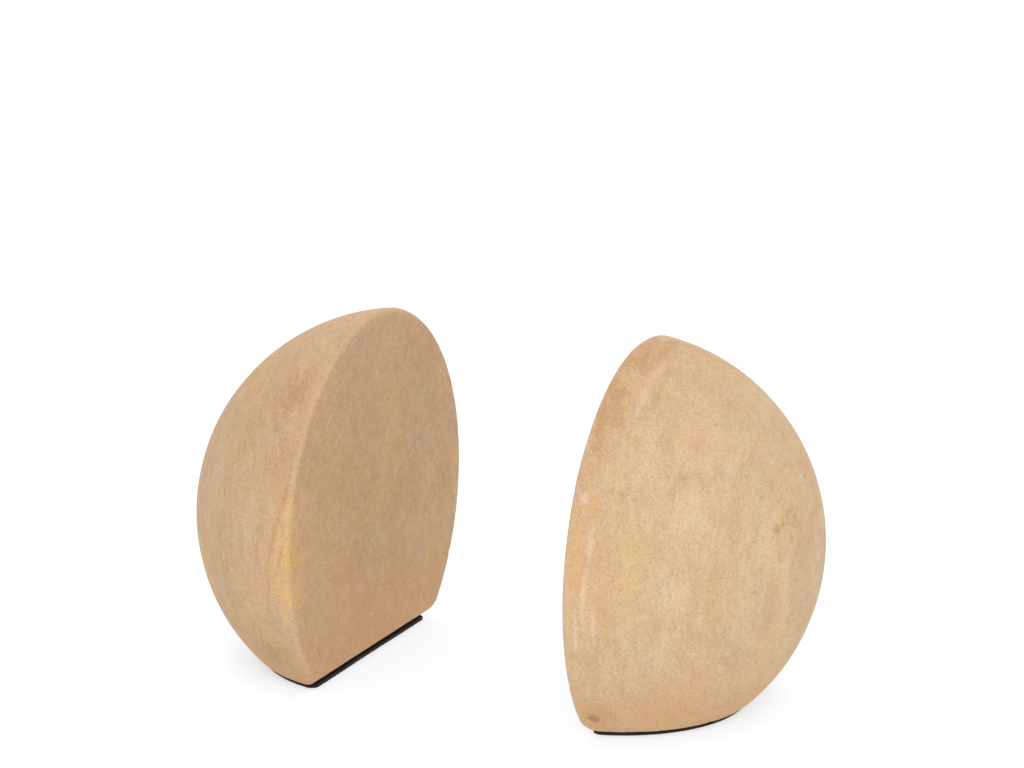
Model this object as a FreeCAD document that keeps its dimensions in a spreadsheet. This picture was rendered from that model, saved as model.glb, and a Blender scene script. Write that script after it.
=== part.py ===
import FreeCAD, Part
import math
import os
import Sketcher

# A pair of sandstone book ends.  Each half is a turned stone ball, sawn flat twice: an upright face
# that the books lean on, and a foot.  A thin pad is glued under the foot with an adhesive film.
# Origin: on the shelf, midway between the two faces.  +X runs along the shelf to the right half.

doc = FreeCAD.newDocument("BookEnds")

# Driving dimensions, in millimetres.
SIZES = {
    "ball_radius": 76.0,        # radius of the turned ball
    "face_offset": 8.5,         # the face is sawn this far past the ball's centre
    "centre_height": 56.9,      # ball's centre above the shelf
    "face_gap": 102.0,          # room for books between the two faces
    "pad_thickness": 1.4,
    "film_thickness": 0.2,
    "toe_round": 6.0,           # softened edge where the face meets the foot
    "arris_round": 2.2,         # small rounding along every other sawn edge
    "pad_radius": 50.6,         # the pad keeps just inside the round edge of the foot
    "pad_setback": 2.5,         # from the face's plane to the pad's straight edge
    "pad_corner": 3.0,
    "film_radius": 49.6,
    "film_setback": 6.8,        # the film stays on the flat of the foot, behind the toe round
    "film_corner": 2.0,
}

sheet = doc.addObject("Spreadsheet::Sheet", "Sizes")
for row, (alias, value) in enumerate(SIZES.items(), start=1):
    sheet.set(f"A{row}", alias)
    sheet.set(f"B{row}", str(value))
    sheet.setAlias(f"B{row}", alias)
doc.recompute()

FACE_X = SIZES["face_offset"]
FOOT_Z = SIZES["pad_thickness"] + SIZES["film_thickness"] - SIZES["centre_height"]

# The right half is drawn as it stands.  The left half is the same shape turned half round.
SIDES = {"right": (1, 0.0), "left": (-1, 180.0)}

H_AXIS = -1                     # a sketch's own horizontal axis, as a constraint names it
START, END, CENTRE = 1, 2, 3    # points of a sketch line or arc
ORIGIN = (-1, 1)                # a sketch's own origin point


def place(body, sign, turn, height):
    """Stand a body over its ball's centre, at a height bound to the sheet."""
    up = FreeCAD.Vector(0, 0, 1)
    body.Placement = FreeCAD.Placement(FreeCAD.Vector(), FreeCAD.Rotation(up, turn))
    body.setExpression("Placement.Base.x", f"{sign} * (Sizes.face_gap / 2 - Sizes.face_offset)")
    body.setExpression("Placement.Base.z", height)


def sketch_on(body, name, role):
    """Make an empty sketch on one of the body's own origin planes."""
    sketch = body.newObject("Sketcher::SketchObject", name)
    plane = next(item for item in body.Origin.OriginFeatures if item.Role == role)
    sketch.AttachmentSupport = [(plane, "")]
    sketch.MapMode = "FlatFace"
    return sketch


def bind(sketch, name, expression, *constraint):
    """Add a dimension to a sketch and bind it to the sheet."""
    index = sketch.addConstraint(Sketcher.Constraint(*constraint))
    sketch.renameConstraint(index, name)
    sketch.setExpression(f"Constraints.{name}", expression)


def join(sketch, first, first_point, second, second_point):
    """Make two points of a sketch coincide."""
    sketch.addConstraint(Sketcher.Constraint("Coincident", first, first_point, second, second_point))


def draw_arc(sketch, radius, start_angle, end_angle):
    """Draw an arc about the sketch's origin, and keep its centre there."""
    circle = Part.Circle(FreeCAD.Vector(), FreeCAD.Vector(0, 0, 1), radius)
    arc = sketch.addGeometry(Part.ArcOfCircle(circle, start_angle, end_angle))
    join(sketch, arc, CENTRE, *ORIGIN)
    return arc


def draw_line(sketch, start, end):
    """Draw a line between two (x, y) points."""
    return sketch.addGeometry(Part.LineSegment(FreeCAD.Vector(*start, 0), FreeCAD.Vector(*end, 0)))


def ball_profile(body):
    """Sketch the quarter outline that turns into a ball with a flat face."""
    radius = SIZES["ball_radius"]
    rim_angle = math.acos(FACE_X / radius)
    rim = (FACE_X, radius * math.sin(rim_angle))
    sketch = sketch_on(body, "Profile", "XZ_Plane")
    arc = draw_arc(sketch, radius, 0.0, rim_angle)
    face = draw_line(sketch, rim, (FACE_X, 0.0))
    axis = draw_line(sketch, (FACE_X, 0.0), (radius, 0.0))
    join(sketch, arc, END, face, START)
    join(sketch, face, END, axis, START)
    join(sketch, axis, END, arc, START)
    sketch.addConstraint(Sketcher.Constraint("PointOnObject", face, END, H_AXIS))
    sketch.addConstraint(Sketcher.Constraint("PointOnObject", arc, START, H_AXIS))
    sketch.addConstraint(Sketcher.Constraint("Vertical", face))
    bind(sketch, "radius", "Sizes.ball_radius", "Radius", arc, radius)
    bind(sketch, "face_offset", "Sizes.face_offset", "DistanceX", *ORIGIN, face, END, FACE_X)
    return sketch


def saw_outline(body):
    """Sketch a circle wider than the ball, in the plane of the foot."""
    radius = SIZES["ball_radius"]
    sketch = sketch_on(body, "SawCut", "XY_Plane")
    sketch.setExpression(
        "AttachmentOffset.Base.z",
        "Sizes.pad_thickness + Sizes.film_thickness - Sizes.centre_height",
    )
    circle = sketch.addGeometry(Part.Circle(FreeCAD.Vector(), FreeCAD.Vector(0, 0, 1), radius))
    join(sketch, circle, CENTRE, *ORIGIN)
    bind(sketch, "radius", "Sizes.ball_radius", "Radius", circle, radius)
    return sketch


def round_edges(body, name, base, wanted, radius):
    """Fillet the edges of base for which wanted(edge) holds."""
    names = [f"Edge{i}" for i, edge in enumerate(base.Shape.Edges, start=1) if wanted(edge)]
    fillet = body.newObject("PartDesign::Fillet", name)
    fillet.Base = (base, names)
    fillet.setExpression("Radius", radius)
    body.Tip = fillet
    doc.recompute()
    return fillet


def lies_at(edge, x=None, z=None):
    """Say whether a whole edge lies in the plane x or in the plane z of its body."""
    box = edge.BoundBox
    near = 1e-4
    in_x = x is None or abs(box.XMin - x) + abs(box.XMax - x) < near
    in_z = z is None or abs(box.ZMin - z) + abs(box.ZMax - z) < near
    return in_x and in_z


def make_stone(name, sign, turn):
    """One stone: the turned ball, its sawn foot and its softened edges."""
    body = doc.addObject("PartDesign::Body", name)
    body.Label = name
    place(body, sign, turn, "Sizes.centre_height")

    profile = ball_profile(body)
    ball = body.newObject("PartDesign::Revolution", "Ball")
    ball.Profile = profile
    ball.ReferenceAxis = (profile, ["H_Axis"])
    ball.Angle = 360.0
    doc.recompute()
    ball_volume = ball.Shape.Volume

    foot = body.newObject("PartDesign::Pocket", "Foot")
    foot.Profile = saw_outline(body)
    foot.Type = "ThroughAll"
    body.Tip = foot
    doc.recompute()
    if foot.Shape.Volume > 0.99 * ball_volume:
        raise RuntimeError(f"the foot of {name} is not cut")

    toe = round_edges(
        body, "ToeRound", foot, lambda edge: lies_at(edge, x=FACE_X, z=FOOT_Z), "Sizes.toe_round"
    )
    if len(toe.Shape.Edges) <= len(foot.Shape.Edges):
        raise RuntimeError(f"the toe of {name} is not rounded")
    on_ball = [face for face in toe.Shape.Faces if isinstance(face.Surface, Part.Sphere)]
    rims = [edge.hashCode() for face in on_ball for edge in face.Edges if not edge.isSeam(face)]
    round_edges(body, "ArrisRound", toe, lambda edge: edge.hashCode() in rims, "Sizes.arris_round")
    return body


def make_plate(name, sign, turn, height, kind):
    """A flat plate with a D outline: the pad, or the film that glues it on."""
    radius = SIZES[f"{kind}_radius"]
    edge_x = FACE_X + SIZES[f"{kind}_setback"]
    corner_angle = math.acos(edge_x / radius)
    corner_y = radius * math.sin(corner_angle)

    body = doc.addObject("PartDesign::Body", name)
    body.Label = name
    place(body, sign, turn, height)

    sketch = sketch_on(body, "Outline", "XY_Plane")
    arc = draw_arc(sketch, radius, -corner_angle, corner_angle)
    edge = draw_line(sketch, (edge_x, corner_y), (edge_x, -corner_y))
    join(sketch, arc, END, edge, START)
    join(sketch, edge, END, arc, START)
    sketch.addConstraint(Sketcher.Constraint("Vertical", edge))
    bind(sketch, "radius", f"Sizes.{kind}_radius", "Radius", arc, radius)
    edge_size = f"Sizes.face_offset + Sizes.{kind}_setback"
    bind(sketch, "edge_offset", edge_size, "DistanceX", *ORIGIN, edge, START, edge_x)

    plate = body.newObject("PartDesign::Pad", "Plate")
    plate.Profile = sketch
    plate.setExpression("Length", f"Sizes.{kind}_thickness")
    body.Tip = plate
    doc.recompute()

    thickness = SIZES[f"{kind}_thickness"]
    round_edges(
        body,
        "Corners",
        plate,
        lambda edge: abs(edge.BoundBox.ZLength - thickness) < 1e-4 and edge.BoundBox.XLength < 1e-4,
        f"Sizes.{kind}_corner",
    )
    return body


sub_parts = []
for side, (sign, turn) in SIDES.items():
    sub_parts.append(make_stone(f"{side}_stone", sign, turn))
    sub_parts.append(make_plate(f"{side}_base_pad", sign, turn, "0", "pad"))
    sub_parts.append(make_plate(f"{side}_pad_adhesive", sign, turn, "Sizes.pad_thickness", "film"))

doc.recompute()

for item in doc.Objects:
    if "Invalid" in item.State or "Error" in item.State:
        raise RuntimeError(f"{item.Name} did not build: {item.State}")
for body in sub_parts:
    if body.Shape.isNull() or not body.Shape.isValid():
        raise RuntimeError(f"{body.Label} has no valid shape")

os.makedirs("parts", exist_ok=True)
for body in sub_parts:
    body.Shape.exportStep(f"parts/{body.Label}.step")
    box = body.Shape.BoundBox
    print(
        f"{body.Label}: {body.Shape.Volume / 1000:.2f} cm3, {len(body.Shape.Faces)} faces,",
        f"x {box.XMin:.2f} to {box.XMax:.2f}, y {box.YMin:.2f} to {box.YMax:.2f},",
        f"z {box.ZMin:.2f} to {box.ZMax:.2f}",
    )
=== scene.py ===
"""Sandstone book ends: two balls sawn flat for the books and for the shelf, each on a black pad."""

import math

import bmesh
import bpy
import numpy as np
from mathutils import Matrix, Vector, noise


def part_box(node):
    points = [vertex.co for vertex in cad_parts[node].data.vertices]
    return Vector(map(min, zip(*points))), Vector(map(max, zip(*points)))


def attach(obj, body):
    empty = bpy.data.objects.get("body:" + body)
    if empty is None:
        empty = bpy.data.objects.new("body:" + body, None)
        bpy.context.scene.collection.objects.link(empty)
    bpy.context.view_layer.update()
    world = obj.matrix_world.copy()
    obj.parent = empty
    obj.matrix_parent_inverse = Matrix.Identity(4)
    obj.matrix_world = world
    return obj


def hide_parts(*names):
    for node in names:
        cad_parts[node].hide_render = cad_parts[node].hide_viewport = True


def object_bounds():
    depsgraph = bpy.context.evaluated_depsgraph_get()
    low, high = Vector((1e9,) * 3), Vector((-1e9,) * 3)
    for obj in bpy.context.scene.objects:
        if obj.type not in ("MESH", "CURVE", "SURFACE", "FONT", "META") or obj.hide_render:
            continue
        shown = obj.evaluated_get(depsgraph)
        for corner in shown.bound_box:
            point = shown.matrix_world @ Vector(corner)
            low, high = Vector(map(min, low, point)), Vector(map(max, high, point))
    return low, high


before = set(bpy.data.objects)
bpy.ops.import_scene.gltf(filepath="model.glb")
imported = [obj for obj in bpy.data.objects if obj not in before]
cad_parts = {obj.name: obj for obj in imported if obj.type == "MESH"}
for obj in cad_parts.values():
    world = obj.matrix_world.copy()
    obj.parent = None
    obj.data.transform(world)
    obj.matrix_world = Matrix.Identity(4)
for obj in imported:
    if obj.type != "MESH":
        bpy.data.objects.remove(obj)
cad_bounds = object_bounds()

MM = 0.001

# The stones' own shape, as it was turned and sawn.
BALL_RADIUS = 76.0 * MM
ARRIS_ROUND = 2.2 * MM      # rounding along the rims of the sawn faces
TOE_ROUND = 6.0 * MM        # rounding where the book face meets the foot
STONE_VOXEL = 0.8 * MM      # size of the stones' mesh faces

# How far wear reaches from a rim and from the toe: it fades out between these two depths.
RIM_WEAR = (0.9 * MM, 2.6 * MM)
TOE_WEAR = (2.0 * MM, 6.0 * MM)
BARE_CHIP = 0.3 * MM        # a chip this deep looks as bare as a worn arris

# The mesh of a pad or a film: points round its outline, and rings from its middle to its edge.
PLATE_POINTS = 420
PLATE_RINGS = 36

SIDES = {"right": 1, "left": -1}


# ---------------------------------------------------------------- mesh helpers


def noise_at(points, size, offset=0.0):
    """Smooth noise from -1 to 1 at each point, with features about size across."""
    scaled = points / size + offset
    return np.array([noise.noise(point) for point in scaled.tolist()])


def fade(low, high, value):
    """A smooth step from 0 at low to 1 at high."""
    share = np.clip((value - low) / (high - low), 0.0, 1.0)
    return share * share * (3.0 - 2.0 * share)


def vertices_of(mesh):
    """A mesh's vertices as an array of points."""
    flat = np.empty(len(mesh.vertices) * 3)
    mesh.vertices.foreach_get("co", flat)
    return flat.reshape(-1, 3)


def add_piece(name, mesh, material, body, slot, *replaced):
    """Put a finished mesh in the scene as a piece of the object."""
    piece = bpy.data.objects.new(name, mesh)
    bpy.context.scene.collection.objects.link(piece)
    mesh.materials.clear()
    mesh.materials.append(material)
    mesh.polygons.foreach_set("use_smooth", [True] * len(mesh.polygons))
    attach(piece, body)
    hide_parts(*replaced)


def remeshed(node, voxel):
    """An even mesh of small faces over a CAD node's shape."""
    source = bpy.data.objects.new("remesh_source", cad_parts[node].data.copy())
    bpy.context.scene.collection.objects.link(source)
    modifier = source.modifiers.new("even", "REMESH")
    modifier.mode = "VOXEL"
    modifier.voxel_size = voxel
    modifier.adaptivity = 0.0
    graph = bpy.context.evaluated_depsgraph_get()
    mesh = bpy.data.meshes.new_from_object(source.evaluated_get(graph))
    bpy.data.objects.remove(source)
    return mesh


# ---------------------------------------------------------------- the stones


class StoneShape:
    """The exact surface of one stone: a ball cut by two planes, with every edge rounded.

    Points are taken with +X away from the books, so one shape serves both sides."""

    def __init__(self, side):
        self.sign = SIDES[side]
        low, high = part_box(f"{side}_stone")
        self.face = min(abs(low.x), abs(high.x))
        self.foot = low.z
        pole = max(abs(low.x), abs(high.x))
        face_offset = self.face - (pole - BALL_RADIUS)
        # The rounded rim tops out where the arris leaves the ball.
        core_offset = face_offset + ARRIS_ROUND
        core_radius = BALL_RADIUS - ARRIS_ROUND
        top = math.sqrt(core_radius**2 - core_offset**2) + ARRIS_ROUND
        self.centre = np.array([pole - BALL_RADIUS, 0.0, high.z - top])

    def outward(self, points):
        """Swap between the row's frame and the one with +X away from the books."""
        return points * np.array([self.sign, 1.0, 1.0])

    def on_core_ball(self, points):
        """The nearest points of the ball shrunk by the arris."""
        arm = points - self.centre
        length = np.linalg.norm(arm, axis=1, keepdims=True)
        share = np.minimum(1.0, (BALL_RADIUS - ARRIS_ROUND) / np.maximum(length, 1e-9))
        return self.centre + arm * share

    def on_core_wedge(self, points):
        """The nearest points of the space behind the face and above the foot, less the arris."""
        face, foot = self.face + ARRIS_ROUND, self.foot + ARRIS_ROUND
        toe = TOE_ROUND - ARRIS_ROUND
        out = points.copy()
        out[:, 0] = np.maximum(points[:, 0], face)
        out[:, 2] = np.maximum(points[:, 2], foot)
        arm_x, arm_z = points[:, 0] - face - toe, points[:, 2] - foot - toe
        corner = (arm_x < 0) & (arm_z < 0)
        length = np.hypot(arm_x, arm_z)
        share = np.minimum(1.0, toe / np.maximum(length, 1e-9))
        out[corner, 0] = (face + toe + arm_x * share)[corner]
        out[corner, 2] = (foot + toe + arm_z * share)[corner]
        return out

    def surface(self, points, rounds=60):
        """The nearest surface points and their outward normals (Dykstra's projection)."""
        current = points.copy()
        ball_step, wedge_step = np.zeros_like(points), np.zeros_like(points)
        for _ in range(rounds):
            ball = self.on_core_ball(current + ball_step)
            ball_step += current - ball
            current = self.on_core_wedge(ball + wedge_step)
            wedge_step += ball - current
        normal = points - current
        normal /= np.linalg.norm(normal, axis=1, keepdims=True)
        return current + normal * ARRIS_ROUND, normal

    def edge_wear(self, points):
        """1 on the middle of an arris, 0 on the open faces."""
        below_ball = BALL_RADIUS - np.linalg.norm(points - self.centre, axis=1)
        behind_face = points[:, 0] - self.face
        above_foot = points[:, 2] - self.foot
        nearest_cut = np.minimum(behind_face, above_foot)
        rim = np.maximum(below_ball, nearest_cut)
        toe = np.maximum(behind_face, above_foot)
        rim_wear = 1.0 - fade(*RIM_WEAR, rim)
        toe_wear = 1.0 - fade(*TOE_WEAR, toe)
        return np.maximum(rim_wear, toe_wear)


def hollows(points, centres, radii, depths):
    """Depth of a set of small round hollows at each point."""
    total = np.zeros(len(points))
    for centre, radius, depth in zip(centres, radii, depths):
        near = np.where(np.abs(points - centre).max(axis=1) < 2.0 * radius)[0]
        away = np.linalg.norm(points[near] - centre, axis=1) / radius
        total[near] = np.maximum(total[near], depth * np.exp(-(away**4)))
    return total


def make_stone(side, seed, material):
    """One stone, with the unevenness of hand-finished sandstone cut into its surface."""
    shape = StoneShape(side)
    mesh = remeshed(f"{side}_stone", STONE_VOXEL)
    points, normals = shape.surface(shape.outward(vertices_of(mesh)))
    wear = shape.edge_wear(points)
    draw = np.random.default_rng(seed)

    # Each kind of unevenness reads its own stretch of the noise.
    hand_finish = 0.10 * MM * (1.0 + noise_at(points, 26 * MM, seed))
    grain = 0.022 * MM * (1.0 + noise_at(points, 1.7 * MM, seed + 11.3))
    worn_edge = wear * 0.07 * MM * (1.0 + noise_at(points, 5 * MM, seed + 4.7))

    pit_count, chip_count = 90, 14
    pits = hollows(
        points,
        points[draw.integers(len(points), size=pit_count)],
        draw.uniform(0.8, 1.5, pit_count) * MM,
        draw.uniform(0.06, 0.16, pit_count) * MM,
    )
    edge_points = points[wear > 0.8]
    chips = hollows(
        points,
        edge_points[draw.integers(len(edge_points), size=chip_count)],
        draw.uniform(0.8, 1.7, chip_count) * MM,
        draw.uniform(0.06, 0.22, chip_count) * MM,
    )
    depth = hand_finish + grain + worn_edge + pits + chips
    carved = shape.outward(points - normals * depth[:, None])

    mesh.vertices.foreach_set("co", carved.ravel())
    mesh.update()
    wear_layer = mesh.attributes.new("wear", "FLOAT", "POINT")
    wear_layer.data.foreach_set("value", np.clip(wear + chips / BARE_CHIP, 0.0, 1.0))
    node = slot = f"{side}_stone"
    add_piece(f"{side}_stone_block", mesh, material, f"{side}_bookend", slot, node)


# ---------------------------------------------------------------- pads and films


def d_outline(side, node, corner):
    """Points round a plate's D outline: a round side, a straight side and two small corners."""
    low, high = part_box(node)
    sign = SIDES[side]
    centre_x = StoneShape(side).centre[0]
    straight = min(abs(low.x), abs(high.x)) - centre_x
    radius = max(abs(low.x), abs(high.x)) - centre_x
    # The corner's circle touches the straight side and the round side from within.
    corner_x = straight + corner
    corner_y = math.sqrt((radius - corner) ** 2 - corner_x**2)
    turn = math.atan2(corner_y, corner_x)
    arcs = [
        (0.0, 0.0, radius, -turn, turn),
        (corner_x, corner_y, corner, turn, math.pi),
        (corner_x, -corner_y, corner, math.pi, 2.0 * math.pi - turn),
    ]
    path = []
    for x, y, r, start, end in arcs:
        steps = max(12, int(PLATE_POINTS * r * (end - start) / (4 * radius)))
        for angle in np.linspace(start, end, steps):
            path.append((x + r * math.cos(angle), y + r * math.sin(angle)))
    path.append(path[0])
    path = np.array(path)
    along = np.concatenate([[0.0], np.cumsum(np.linalg.norm(np.diff(path, axis=0), axis=1))])
    even = np.linspace(0.0, along[-1], PLATE_POINTS, endpoint=False)
    x = np.interp(even, along, path[:, 0]) + centre_x
    y = np.interp(even, along, path[:, 1])
    return np.stack([x * sign, y * sign], axis=1), low.z, high.z


def plate_mesh(name, side, node, corner, edge_round, ragged, relief):
    """A D-shaped plate with rounded edges, a slightly uneven cut and a grained underside."""
    outline, bottom, top = d_outline(side, node, corner)
    middle = outline.mean(axis=0)
    reach_out = np.linalg.norm(outline - middle, axis=1)
    edge_points = np.column_stack([outline, np.zeros(PLATE_POINTS)])
    cut = ragged * (1.0 + noise_at(edge_points, 6 * MM)) / 2.0

    # Rings run from the middle of the underside, round the edge, to the middle of the top.
    quarter = np.linspace(0.0, math.pi / 2, 5)
    inset = edge_round * (1.0 - np.sin(quarter))
    rise = edge_round * (1.0 - np.cos(quarter))
    inner = np.linspace(0.0, 1.0, PLATE_RINGS, endpoint=False)[1:]
    flat_share = 1.0 - edge_round / reach_out.mean()
    profile = [(share * flat_share, 0.0, bottom) for share in inner]
    profile += [(1.0, step_in, bottom + step_up) for step_in, step_up in zip(inset, rise)]
    profile += [(1.0, step_in, top - step_up) for step_in, step_up in zip(inset[::-1], rise[::-1])]
    profile += [(share * flat_share, 0.0, top) for share in inner[::-1]]

    build = bmesh.new()
    loops = []
    for share, step_in, z in profile:
        reach = share * (1.0 - (cut + step_in) / reach_out)
        ring = middle + (outline - middle) * reach[:, None]
        loops.append([build.verts.new((x, y, z)) for x, y in ring])
    for lower, upper in zip(loops, loops[1:]):
        for here in range(PLATE_POINTS):
            after = (here + 1) % PLATE_POINTS
            build.faces.new((lower[here], lower[after], upper[after], upper[here]))
    for ring, z in ((loops[0], bottom), (loops[-1], top)):
        hub = build.verts.new((*middle, z))
        for here in range(PLATE_POINTS):
            build.faces.new((hub, ring[here], ring[(here + 1) % PLATE_POINTS]))
    bmesh.ops.recalc_face_normals(build, faces=build.faces)
    mesh = bpy.data.meshes.new(name)
    build.to_mesh(mesh)
    build.free()

    points = vertices_of(mesh)
    under = 1.0 - fade(bottom, bottom + edge_round, points[:, 2])
    points[:, 2] += under * relief * (1.0 + noise_at(points, 1.4 * MM, 3.1))
    mesh.vertices.foreach_set("co", points.ravel())
    mesh.update()
    return mesh


def make_pad(side, material):
    """The black pad under one foot."""
    name, node = f"{side}_pad_sheet", f"{side}_base_pad"
    mesh = plate_mesh(
        name, side, node, corner=3.0 * MM, edge_round=0.45 * MM, ragged=0.25 * MM, relief=0.05 * MM
    )
    add_piece(name, mesh, material, f"{side}_bookend", "base_pad", node)


def make_film(side, material):
    """The adhesive film between one stone and its pad."""
    name, node = f"{side}_glue_film", f"{side}_pad_adhesive"
    mesh = plate_mesh(
        name, side, node, corner=2.0 * MM, edge_round=0.08 * MM, ragged=0.9 * MM, relief=0.0
    )
    add_piece(name, mesh, material, f"{side}_bookend", "pad_adhesive", node)


# ---------------------------------------------------------------- material helpers


def new_material(name):
    """An empty material with its Principled shader."""
    material = bpy.data.materials.new(name)
    material.use_nodes = True
    tree = material.node_tree
    shader = next(node for node in tree.nodes if node.type == "BSDF_PRINCIPLED")
    return material, tree, shader


def feed(tree, node, inputs):
    """Fill a node's inputs, each with a value or with a link from another node."""
    for key, value in inputs.items():
        if isinstance(value, bpy.types.NodeSocket):
            tree.links.new(value, node.inputs[key])
        else:
            node.inputs[key].default_value = value


def add_node(tree, kind, inputs, **settings):
    """A new shader node with its settings and inputs filled in."""
    node = tree.nodes.new(kind)
    for key, value in settings.items():
        setattr(node, key, value)
    feed(tree, node, inputs)
    return node


def object_place(tree):
    """Places in the piece's own frame, in metres."""
    return add_node(tree, "ShaderNodeTexCoord", {}).outputs["Object"]


def maths(tree, operation, *values):
    """A Math node's result."""
    return add_node(tree, "ShaderNodeMath", dict(enumerate(values)), operation=operation).outputs[0]


def vector_maths(tree, operation, *values):
    """A Vector Math node's result."""
    inputs = dict(enumerate(values))
    return add_node(tree, "ShaderNodeVectorMath", inputs, operation=operation).outputs[0]


def ranged(tree, value, low, high, to_low=0.0, to_high=1.0):
    """A value carried smoothly from one range to another."""
    inputs = {"Value": value, "From Min": low, "From Max": high, "To Min": to_low, "To Max": to_high}
    node = add_node(tree, "ShaderNodeMapRange", inputs, interpolation_type="SMOOTHSTEP")
    return node.outputs["Result"]


def mixed(tree, share, below, above, blend="MIX"):
    """Two colours mixed.  A Mix node takes them in places 6 and 7, and gives the result in 2."""
    inputs = {0: share, 6: below, 7: above}
    return add_node(tree, "ShaderNodeMix", inputs, data_type="RGBA", blend_type=blend).outputs[2]


def times(tree, colour, factor):
    """A colour multiplied by another."""
    return mixed(tree, 1.0, colour, factor, "MULTIPLY")


def bump(tree, height, strength, distance):
    """A surface direction with relief too fine for the mesh."""
    inputs = {"Height": height, "Strength": strength, "Distance": distance}
    return add_node(tree, "ShaderNodeBump", inputs).outputs[0]


def fractal(tree, place, scale, detail=2.0, roughness=0.5):
    """A noise texture's value, from 0 to 1."""
    inputs = {"Vector": place, "Scale": scale, "Detail": detail, "Roughness": roughness}
    return add_node(tree, "ShaderNodeTexNoise", inputs).outputs["Fac"]


def mapped(tree, place, shift=(0, 0, 0), turn=(0, 0, 0), scale=(1, 1, 1)):
    """A place moved, turned (in degrees) and scaled."""
    inputs = {
        "Vector": place,
        "Location": shift,
        "Rotation": [math.radians(angle) for angle in turn],
        "Scale": scale,
    }
    return add_node(tree, "ShaderNodeMapping", inputs).outputs[0]


def tint(red, green, blue):
    """A colour given in screen values from 0 to 255, as the shader wants it."""
    def linear(value):
        share = value / 255.0
        return share / 12.92 if share <= 0.04045 else ((share + 0.055) / 1.055) ** 2.4

    return (linear(red), linear(green), linear(blue), 1.0)


# ---------------------------------------------------------------- sandstone

# Most of the variation runs from deep to pale, and a little of it from cool to warm and from sage to
# rose.
STONE_COLOURS = {
    "deep": tint(173, 125, 77),
    "pale": tint(219, 199, 165),
    "cream": tint(213, 188, 153),
    "bloom": tint(222, 204, 180),
    "ash": tint(196, 172, 147),
    "ochre": tint(204, 167, 118),
    "honey": tint(222, 184, 130),
    "gold": tint(216, 168, 92),
    "amber": tint(208, 160, 110),
    "rust": tint(194, 146, 104),
    "mauve": tint(186, 148, 118),
    "brown": tint(178, 135, 97),
    "umber": tint(172, 126, 76),
    "dark grain": tint(154, 114, 74),
    "pale grain": tint(226, 198, 165),
    "speck": tint(140, 100, 66),
    "pinhole": tint(120, 84, 54),
}
COOL, WARM = (0.92, 0.96, 1.10, 1.0), (1.08, 1.04, 0.90, 1.0)
SAGE, ROSE = (0.97, 1.035, 0.97, 1.0), (1.03, 0.965, 1.03, 1.0)

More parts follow.
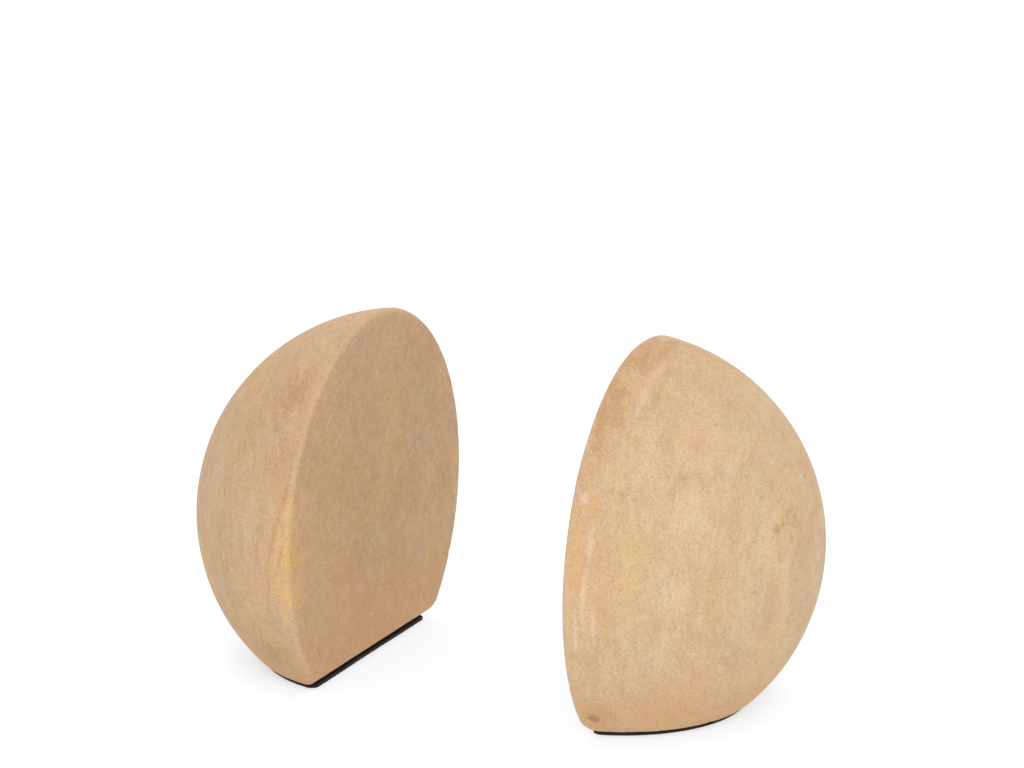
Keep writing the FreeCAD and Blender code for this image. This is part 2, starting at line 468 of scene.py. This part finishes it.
# How each stone looks.  Its layers of colour run from slow clouds to mottling: cycles per mm, how far
# each reaches from deep to pale, and how far from cool to warm and from sage to rose.  A patch has a
# direction from the ball's centre (outward, across, up), half sizes in mm, a colour, a strength and,
# where it leans towards the books, an angle.
STONES = {
    "right": {
        "seed": 3,
        "shade": (0.996, 0.984, 0.967, 1.0),
        "layers": [(0.035, 0.19, 0.40), (0.10, 0.27, 0.54), (0.22, 0.28, 0.58), (0.48, 0.32, 0.36)],
        "bed_turn": (0, 4, -8),
        "bed_stretch": (1.9, 0.74, 0.66),
        "patches": {
            # Painted shade: the crown and upper rim patches are a brown stain darkened further with
            # painted shade of the books that stand against the stone; the umber one is painted shade
            # alone.
            "crown stain and painted shade": ((0.16, -0.16, 0.97), (13, 24, 10), "brown", 0.62),
            "rim stain and painted shade": ((0.16, -0.60, 0.78), (7, 18, 16), "brown", 0.58),
            "painted shade on the crown": ((0.115, -0.42, 0.90), (6, 24, 14), "umber", 0.46),
            "brown edge": ((0.14, -0.82, 0.56), (4, 10, 13), "brown", 0.30),
            "amber rim": ((0.17, -0.95, 0.26), (3.5, 10, 16), "amber", 0.38),
            "rusty shoulder": ((0.16, -0.88, 0.42), (6, 10, 13), "rust", 0.28),
            "orange dot": ((0.21, -0.89, 0.39), (2.5, 3.5, 3.0), "amber", 0.50),
            "pale dot": ((0.17, -0.89, 0.43), (1.6, 2.5, 2.5), "bloom", 0.45),
            "yellow field": ((0.37, -0.93, 0.06), (13, 10, 17), "ochre", 0.50),
            "pale band": ((0.40, -0.69, 0.60), (3.2, 11, 17), "cream", 0.50),
            "rosy streak": ((0.293, -0.48, 0.825), (1.7, 24, 20), "bloom", 0.30),
            "brown streak": ((0.341, -0.53, 0.775), (1.6, 24, 20), "brown", 0.30),
            "upper rust": ((0.235, -0.48, 0.845), (1.8, 18, 16), "rust", 0.34),
            "pale middle": ((0.60, -0.70, 0.38), (9, 10, 11), "cream", 0.45),
            "pale spot": ((0.57, -0.82, 0.04), (4.5, 6, 8), "cream", 0.48),
            "pale upper": ((0.60, -0.52, 0.61), (12, 14, 9), "cream", 0.34),
            "rusty spot": ((0.58, -0.51, 0.64), (4, 5, 5), "rust", 0.35),
            "mauve streak": ((0.77, -0.55, 0.32), (2.5, 5, 14), "mauve", 0.40),
            "pale cheek": ((0.86, -0.44, 0.20), (6, 9, 17), "cream", 0.42),
            "pale flank": ((0.94, -0.33, -0.04), (4, 5, 16), "cream", 0.40),
            "rusty streak": ((0.72, -0.69, -0.06), (4, 5, 19), "rust", 0.32),
            "rusty corner": ((0.31, -0.95, -0.09), (4, 5, 9), "rust", 0.32),
            "rusty middle": ((0.48, -0.84, 0.25), (5, 5, 3.5), "rust", 0.30),
            "rusty belly": ((0.49, -0.86, -0.14), (6, 6, 6), "rust", 0.40),
            "amber belly": ((0.66, -0.66, -0.36), (6, 7, 7), "amber", 0.32),
            "pale belly": ((0.52, -0.81, -0.26), (3.5, 4, 8), "cream", 0.45),
            "dusky side": ((0.90, -0.40, -0.16), (5, 6, 14), "mauve", 0.45),
            "dusky edge": ((0.98, -0.15, 0.16), (4, 8, 22), "mauve", 0.30),
            "ashen shoulder": ((0.73, -0.06, 0.68), (18, 20, 18), "ash", 0.35),
            "honey flank": ((0.88, -0.34, -0.34), (8, 12, 15), "honey", 0.24),
            "amber foot": ((0.50, -0.65, -0.57), (26, 26, 6), "amber", 0.45),
            "brown heel": ((0.78, -0.52, -0.33), (6, 7, 6), "brown", 0.30),
            "smudge's halo": ((0.912, -0.325, 0.250), (3.8, 4.0, 3.8), "ochre", 0.70),
            "smudge": ((0.903, -0.350, 0.248), (1.7, 2.4, 2.5), "umber", 0.78, 14),
            "smudge's dot": ((0.916, -0.303, 0.262), (1.1, 1.5, 1.5), "umber", 0.80),
            "smudge's upper spot": ((0.921, -0.254, 0.295), (1.7, 2.2, 1.3), "brown", 0.58),
            "smudge's fleck": ((0.939, -0.201, 0.280), (0.8, 1.0, 1.0), "umber", 0.75),
            "smudge's tail": ((0.945, -0.263, 0.192), (0.7, 1.6, 2.6), "umber", 0.52, 14),
            "lower spot": ((0.86, -0.51, -0.01), (1.4, 1.8, 1.2), "umber", 0.50),
            "fleck": ((0.693, -0.610, 0.384), (1.0, 1.2, 1.2), "gold", 0.60),
            # Painted shade: this toe patch is a brown stain darkened further with painted shade of the
            # books' cover.
            "brown toe and painted shade": ((0.22, -0.76, -0.62), (7, 9, 7), "brown", 0.38),
            "toe stain": ((0.195, -0.748, -0.634), (2.6, 3.2, 2.6), "dark grain", 0.80),
            "amber bank": ((0.19, -0.975, -0.10), (5, 10, 27), "amber", 0.36),
            "upper streak": ((0.228, -0.944, 0.237), (1.0, 8, 8), "bloom", 0.34),
            "rim streak": ((0.214, -0.976, -0.010), (0.9, 9, 11), "bloom", 0.36),
            "inner streak": ((0.255, -0.959, -0.122), (0.9, 9, 8), "bloom", 0.38),
            "lower streak": ((0.178, -0.963, -0.201), (0.9, 9, 10), "bloom", 0.36),
            "pale back": ((0.60, 0.74, 0.30), (6, 9, 19), "cream", 0.46),
            "rusty back": ((0.40, 0.88, -0.22), (4, 8, 17), "rust", 0.38),
            "brown back": ((0.82, 0.50, 0.26), (5, 7, 8), "brown", 0.38),
            "amber back": ((0.24, 0.84, 0.48), (7, 12, 12), "amber", 0.40),
            "back spot": ((0.62, 0.76, -0.20), (1.4, 1.8, 1.4), "umber", 0.66),
        },
    },
    "left": {
        "seed": 8,
        "shade": (0.914, 0.864, 0.832, 1.0),
        "layers": [(0.035, 0.09, 0.74), (0.10, 0.20, 0.78), (0.22, 0.24, 0.70), (0.48, 0.30, 0.36)],
        "bed_turn": (0, -9, 6),
        "bed_stretch": (2.1, 0.76, 0.64),
        "patches": {
            "dusky top": ((0.42, -0.62, 0.66), (16, 16, 15), "mauve", 0.34),
            # Painted shade: the crown patch is a brown stain darkened further with painted shade of
            # the books.
            "crown stain and painted shade": ((0.25, -0.70, 0.66), (6, 14, 14), "brown", 0.46, 14),
            "brown vein": ((0.25, -0.70, 0.66), (1.4, 10, 9), "brown", 0.34, 14),
            "dusky rim": ((0.19, -0.88, 0.42), (7, 10, 12), "brown", 0.30),
            "mauve patch": ((0.46, -0.75, 0.46), (7, 9, 10), "mauve", 0.40),
            "pale middle": ((0.36, -0.93, 0.13), (7, 9, 14), "cream", 0.40),
            "pale side": ((0.64, -0.73, 0.25), (8, 10, 16), "cream", 0.28),
            "honey field": ((0.20, -0.96, -0.06), (11, 12, 26), "honey", 0.36, 10),
            "honey streak": ((0.13, -0.99, 0.00), (5, 10, 22), "honey", 0.48, 8),
            "honey foot": ((0.15, -0.96, -0.26), (4.4, 9, 14), "honey", 0.42, 8),
            # Painted light: this rim patch is a yellow stain with painted warm light reflected from
            # the books at the edge.
            "gold rim and painted reflection": ((0.118, -0.99, -0.04), (3.4, 10, 24), "gold", 0.38, 6),
            "long vein": ((0.20, -0.975, 0.08), (1.0, 9, 18), "rust", 0.64, 13),
            "inner vein": ((0.16, -0.987, -0.01), (0.8, 8, 10), "rust", 0.58, 17),
            "outer vein": ((0.29, -0.957, 0.03), (0.9, 8, 10), "rust", 0.44, 9),
            "upper vein": ((0.15, -0.943, 0.30), (2.0, 6, 7), "rust", 0.34, 14),
            "lower vein": ((0.235, -0.955, -0.18), (1.0, 7, 11), "rust", 0.50, 10),
            "honey belly": ((0.74, -0.62, -0.26), (14, 14, 15), "honey", 0.26),
            "scratch": ((0.33, -0.79, -0.52), (0.5, 4, 5), "bloom", 0.50),
            "brown foot": ((0.31, -0.76, -0.56), (8, 10, 7), "brown", 0.50),
            "pale back": ((0.70, 0.65, 0.28), (8, 9, 18), "cream", 0.42),
            "honey back": ((0.34, 0.93, -0.10), (7, 9, 20), "honey", 0.42, 8),
            "back vein": ((0.45, 0.86, 0.10), (1.2, 9, 18), "rust", 0.50, 10),
            "inner back vein": ((0.38, 0.90, -0.16), (1.0, 8, 13), "rust", 0.44, 10),
            "dusky back": ((0.66, 0.60, -0.42), (9, 9, 8), "mauve", 0.40),
        },
    },
}

# Where each stone's noise starts, in mm for each step of its seed.
SEED_STEP = (31.7, 0.0, 12.1)


def sandstone(side):
    """Honed sandstone: soft bedding, mineral patches and painted light, sand grains, specks and paler
    worn edges.
    """
    look = STONES[side]
    material, tree, shader = new_material(f"{side}_sandstone")
    shape = StoneShape(side)
    place = place_on_ball(tree, shape)
    seeded = mapped(tree, place, [step * look["seed"] for step in SEED_STEP])
    turned = mapped(tree, folded(tree, seeded), turn=look["bed_turn"])
    beds = mapped(tree, turned, scale=look["bed_stretch"])
    grains = fractal(tree, seeded, 1.5, detail=3.0, roughness=0.7)
    fine_grains = fractal(tree, seeded, 4.2, roughness=0.7)
    specks = dots(tree, seeded, per_mm=0.9, rarity=0.62, radius=0.26)
    pinholes = dots(tree, seeded, per_mm=0.2, rarity=0.55, radius=0.085)
    sawn = saw_marks(tree, place, shape)

    _, across, height = add_node(tree, "ShaderNodeSeparateXYZ", {0: place}).outputs
    colour = bedding(tree, look["layers"], beds, across)
    # The stone deepens towards the foot.
    deepening = ranged(tree, height, -15.0, -56.0, to_high=0.48)
    colour = mixed(tree, deepening, colour, STONE_COLOURS["amber"])
    # The patches are stains, and a few also carry painted shade of the books over the crowns and the
    # right stone's rim and toe, and a painted warm reflection along the left stone's rim.
    colour = stains_and_painted_light(tree, colour, look["patches"], place, ragged_edges(tree, beds, seeded))
    colour = sanded(tree, colour, grains, fine_grains)
    for marks, strength, paint in ((specks, 0.30, "speck"), (pinholes, 0.55, "pinhole")):
        colour = mixed(tree, maths(tree, "MULTIPLY", marks, strength), colour, STONE_COLOURS[paint])
    colour = shaded(tree, colour, maths(tree, "ADD", sawn, 0.5), amount=0.10)
    colour = mixed(tree, pale_arris(tree, grains, height), colour, STONE_COLOURS["cream"])
    colour = times(tree, colour, look["shade"])

    relief = maths(tree, "MULTIPLY", grains, 0.6)
    relief = maths(tree, "ADD", relief, maths(tree, "MULTIPLY", fine_grains, 0.5))
    relief = maths(tree, "SUBTRACT", relief, pinholes)
    relief = maths(tree, "ADD", relief, sawn)
    inputs = {
        "Base Color": colour,
        "Roughness": ranged(tree, grains, 0.3, 0.7, to_low=0.64, to_high=0.82),
        "Specular IOR Level": 0.22,
        "Normal": bump(tree, relief, strength=0.55, distance=0.10 * MM),
    }
    feed(tree, shader, inputs)
    return material


def bedding(tree, layers, beds, across):
    """The stone's own colour, with slow changes in depth, in warmth and in rosiness."""
    depth = 0.5 - sum(reach for _, reach, _ in layers) / 2
    warmth = 0.5 - sum(reach for _, _, reach in layers) / 2
    rosiness = warmth
    for per_mm, deep_to_pale, tinge in layers:
        inputs = {"Vector": beds, "Scale": per_mm, "Detail": 1.0}
        clouds = add_node(tree, "ShaderNodeTexNoise", inputs).outputs["Color"]
        first, second, third = add_node(tree, "ShaderNodeSeparateColor", {0: clouds}).outputs
        depth = maths(tree, "MULTIPLY_ADD", first, deep_to_pale, depth)
        warmth = maths(tree, "MULTIPLY_ADD", second, tinge, warmth)
        rosiness = maths(tree, "MULTIPLY_ADD", third, tinge, rosiness)
    # The back has few patches of its own, so it has stronger clouds instead.
    at_back = ranged(tree, across, -25.0, 25.0, to_high=0.34)
    clouds = maths(tree, "SUBTRACT", fractal(tree, beds, 0.065, detail=3.0), 0.5)
    depth = maths(tree, "MULTIPLY_ADD", clouds, at_back, depth)
    colour = mixed(tree, depth, STONE_COLOURS["deep"], STONE_COLOURS["pale"])
    colour = times(tree, colour, mixed(tree, warmth, COOL, WARM))
    return times(tree, colour, mixed(tree, rosiness, SAGE, ROSE))


def ragged_edges(tree, beds, seeded):
    """Noise from 0 to 1 that tears the edges of the patches, along the beds and grain by grain."""
    along_beds = maths(tree, "MULTIPLY", fractal(tree, beds, 0.13), 0.6)
    by_grain = maths(tree, "MULTIPLY", fractal(tree, seeded, 0.9), 0.4)
    return maths(tree, "ADD", along_beds, by_grain)


def stains_and_painted_light(tree, colour, patches, place, ragged):
    """A colour with every patch laid over it in turn."""
    for name, (direction, half_sizes, paint, strength, *lean) in patches.items():
        share = patch(tree, name, place, ragged, direction, half_sizes, strength, *lean)
        colour = mixed(tree, share, colour, STONE_COLOURS[paint])
    return colour


def sanded(tree, colour, grains, fine_grains):
    """A colour with sand grains: more dark ones than pale ones, and finer ones over both."""
    dark = ranged(tree, grains, 0.52, 0.28, to_high=0.48)
    colour = mixed(tree, dark, colour, STONE_COLOURS["dark grain"])
    pale = ranged(tree, grains, 0.52, 0.74, to_high=0.44)
    colour = mixed(tree, pale, colour, STONE_COLOURS["pale grain"])
    return shaded(tree, colour, fine_grains, amount=0.12)


def pale_arris(tree, grains, height):
    """How bare the stone is worn: as the mesh says, broken up by the grains, and least at the foot."""
    wear = add_node(tree, "ShaderNodeAttribute", {}, attribute_name="wear").outputs["Fac"]
    by_grain = ranged(tree, grains, 0.3, 0.6, to_low=0.10, to_high=0.32)
    off_foot = ranged(tree, height, -55.0, -44.0, to_low=0.15)
    return maths(tree, "MULTIPLY", maths(tree, "MULTIPLY", wear, by_grain), off_foot)


def place_on_ball(tree, shape):
    """Places in millimetres from the ball's centre, +X away from the books."""
    to_mm = np.array([shape.sign, 1.0, 1.0]) / MM
    shift = -shape.centre * np.abs(to_mm)
    return mapped(tree, object_place(tree), shift.tolist(), scale=to_mm.tolist())


def saw_marks(tree, place, shape):
    """Faint arcs left by a round saw on the flat book face, from -0.5 to 0.5, and 0 elsewhere."""
    face = (shape.face - shape.centre[0]) / MM
    outward = add_node(tree, "ShaderNodeSeparateXYZ", {0: place}).outputs[0]
    on_face = ranged(tree, outward, face + 0.3, face + 0.8, to_low=1.0, to_high=0.0)
    saw_centre = (0.0, 150.0, -190.0)   # well outside the stone, so the arcs are wide
    arm = vector_maths(tree, "SUBTRACT", place, saw_centre)
    away = add_node(tree, "ShaderNodeVectorMath", {0: arm}, operation="LENGTH").outputs["Value"]
    inputs = {"W": away, "Scale": 0.55, "Detail": 3.0, "Roughness": 0.7}
    arcs = add_node(tree, "ShaderNodeTexNoise", inputs, noise_dimensions="1D").outputs["Fac"]
    patchy = ranged(tree, fractal(tree, place, 0.03), 0.35, 0.65, to_low=0.2)
    marks = maths(tree, "MULTIPLY", maths(tree, "SUBTRACT", arcs, 0.5), patchy)
    return maths(tree, "MULTIPLY", marks, on_face)


def folded(tree, place):
    """Places pushed about by slow folds and small waves, so that the bedding isn't flat."""
    for per_mm, push in ((0.018, 14.0), (0.080, 3.5)):
        waves = add_node(tree, "ShaderNodeTexNoise", {"Vector": place, "Scale": per_mm, "Detail": 1.0})
        centred = vector_maths(tree, "SUBTRACT", waves.outputs["Color"], (0.5, 0.5, 0.5))
        shift = vector_maths(tree, "MULTIPLY", centred, (push, push, push))
        place = vector_maths(tree, "ADD", place, shift)
    return place


def patch(tree, name, place, ragged, direction, half_sizes, strength, lean=0.0):
    """A soft patch on the ball, as a share from 0 to strength.  The larger ones are more ragged."""
    centre = Vector(direction).normalized() * BALL_RADIUS / MM
    arm = mapped(tree, vector_maths(tree, "SUBTRACT", place, centre), turn=(0, lean, 0))
    scaled = vector_maths(tree, "DIVIDE", arm, half_sizes)
    away = add_node(
        tree, "ShaderNodeVectorMath", {0: scaled}, operation="LENGTH", label=name
    ).outputs["Value"]
    tear = 0.6 if max(half_sizes) > 4.0 else 0.2
    away = maths(tree, "ADD", away, ranged(tree, ragged, 0.33, 0.67, -tear, tear))
    outer, inner = 1.30, 0.10
    return ranged(tree, away, outer, inner, to_high=strength)


def dots(tree, place, per_mm, rarity, radius):
    """Small round dots of uneven strength, one at most in each cell of a scattered grid."""
    cells = add_node(tree, "ShaderNodeTexVoronoi", {"Vector": place, "Scale": per_mm})
    pick = add_node(tree, "ShaderNodeSeparateColor", {0: cells.outputs["Color"]}).outputs[0]
    picked = ranged(tree, pick, rarity, 1.0)
    dot = ranged(tree, cells.outputs["Distance"], radius, 0.4 * radius)
    return maths(tree, "MULTIPLY", dot, picked)


def shaded(tree, colour, value, amount):
    """A colour made darker or lighter by up to half of amount, as value goes from 0 to 1."""
    light = ranged(tree, value, 0.25, 0.75, 1.0 - amount / 2, 1.0 + amount / 2)
    return times(tree, colour, grey(tree, light))


def grey(tree, value):
    """A value as a grey colour."""
    node = add_node(tree, "ShaderNodeCombineColor", {0: value, 1: value, 2: value})
    return node.outputs[0]


# ---------------------------------------------------------------- pad and film materials


def pad_rubber():
    """Black foam rubber: a fine pebbled skin, dusty in places."""
    material, tree, shader = new_material("pad_rubber")
    place = object_place(tree)
    pebbles = add_node(tree, "ShaderNodeTexVoronoi", {"Vector": place, "Scale": 1500.0})
    grain = fractal(tree, place, 2600.0, detail=3.0, roughness=0.6)
    clouds = fractal(tree, place, 90.0, detail=3.0, roughness=0.6)
    black, dusty = tint(30, 25, 22), tint(48, 43, 40)
    colour = mixed(tree, ranged(tree, clouds, 0.45, 0.75, to_high=0.5), black, dusty)
    relief = maths(tree, "ADD", pebbles.outputs["Distance"], maths(tree, "MULTIPLY", grain, 0.5))
    inputs = {
        "Base Color": shaded(tree, colour, grain, amount=0.35),
        "Roughness": ranged(tree, grain, 0.3, 0.7, to_low=0.72, to_high=0.92),
        "Specular IOR Level": 0.3,
        "Normal": bump(tree, relief, strength=0.6, distance=0.12 * MM),
    }
    feed(tree, shader, inputs)
    return material


def glue():
    """Dark, slightly shiny adhesive with trapped air."""
    material, tree, shader = new_material("adhesive_film")
    place = object_place(tree)
    bubbles = add_node(tree, "ShaderNodeTexVoronoi", {"Vector": place, "Scale": 700.0})
    clouds = fractal(tree, place, 160.0, detail=3.0, roughness=0.6)
    dark, light = tint(40, 28, 20), tint(66, 48, 34)
    inputs = {
        "Base Color": mixed(tree, ranged(tree, clouds, 0.35, 0.7), dark, light),
        "Roughness": ranged(tree, clouds, 0.3, 0.7, to_low=0.35, to_high=0.55),
        "Normal": bump(tree, bubbles.outputs["Distance"], strength=0.4, distance=0.05 * MM),
    }
    feed(tree, shader, inputs)
    return material


# ---------------------------------------------------------------- floor, light and camera

WHITE = (1.0, 1.0, 1.0, 1.0)
FLOOR_RADIUS = 8.0
LIGHT_DISTANCE = 1.8
LIGHT_SIZE = 1.0
LIGHT_AIM = Vector((0.0, 0.0, 0.07))    # the middle of the book ends


def make_floor():
    """A pale light table that the book ends stand on: it glows a little, so shadows stay soft."""
    build = bmesh.new()
    bmesh.ops.create_circle(build, cap_ends=True, radius=FLOOR_RADIUS, segments=96)
    mesh = bpy.data.meshes.new("floor")
    build.to_mesh(mesh)
    build.free()
    floor = bpy.data.objects.new("floor", mesh)
    floor.location.z = cad_bounds[0].z
    bpy.context.scene.collection.objects.link(floor)
    material, tree, shader = new_material("light_table")
    clouds = ranged(tree, fractal(tree, object_place(tree), 3.0), 0.3, 0.7)
    dull, bright = (0.41, 0.47, 0.54, 1.0), (0.43, 0.49, 0.56, 1.0)
    inputs = {
        "Base Color": mixed(tree, clouds, dull, bright),
        "Emission Color": WHITE,
        "Emission Strength": 0.58,
        "Roughness": 0.9,
        "Specular IOR Level": 0.1,
    }
    feed(tree, shader, inputs)
    mesh.materials.append(material)


def add_soft_light(name, azimuth, elevation, power):
    """A square soft light that points at the object."""
    lamp = bpy.data.lights.new(name, "AREA")
    lamp.shape = "SQUARE"
    lamp.size = LIGHT_SIZE
    lamp.energy = power
    light = bpy.data.objects.new(name, lamp)
    away = direction_from(azimuth, elevation)
    light.location = LIGHT_AIM + away * LIGHT_DISTANCE
    light.rotation_euler = away.to_track_quat("Z", "Y").to_euler()
    bpy.context.scene.collection.objects.link(light)


def direction_from(azimuth, elevation):
    """The direction from the object to a place: azimuth 0 is in front, 90 is on the right."""
    turn, rise = math.radians(azimuth), math.radians(elevation)
    return Vector(
        (math.sin(turn) * math.cos(rise), -math.cos(turn) * math.cos(rise), math.sin(rise))
    )


def make_lights():
    """A white studio: light from all round, a broad key above the camera and one behind."""
    world = bpy.data.worlds.new("studio")
    world.use_nodes = True
    background = world.node_tree.nodes["Background"]
    background.inputs["Color"].default_value = WHITE
    background.inputs["Strength"].default_value = 1.0
    bpy.context.scene.world = world
    add_soft_light("key", azimuth=28.0, elevation=35.0, power=9.5)
    add_soft_light("back", azimuth=212.0, elevation=38.0, power=6.0)
    bpy.context.scene.view_settings.view_transform = "Standard"


def make_camera():
    """A long lens a metre away, a little above the book ends and to their right."""
    azimuth, elevation, roll = 22.27, 12.37, 1.376
    distance, target = 0.9947, Vector((0.0009, 0.0, 0.1099))
    back = direction_from(azimuth, elevation)
    level = Vector((0, 0, 1)).cross(back).normalized()
    upright = back.cross(level)
    turn = math.radians(roll)
    across = level * math.cos(turn) + upright * math.sin(turn)
    up = upright * math.cos(turn) - level * math.sin(turn)
    lens = bpy.data.cameras.new("camera")
    lens.sensor_width = 36.0
    lens.lens = 96.36
    camera = bpy.data.objects.new("camera", lens)
    turned = Matrix((across, up, back)).transposed().to_4x4()
    camera.matrix_world = Matrix.Translation(target + back * distance) @ turned
    bpy.context.scene.collection.objects.link(camera)
    bpy.context.scene.camera = camera


rubber, film = pad_rubber(), glue()
for side in SIDES:
    make_stone(side, STONES[side]["seed"], sandstone(side))
    make_pad(side, rubber)
    make_film(side, film)
make_floor()
make_lights()
make_camera()
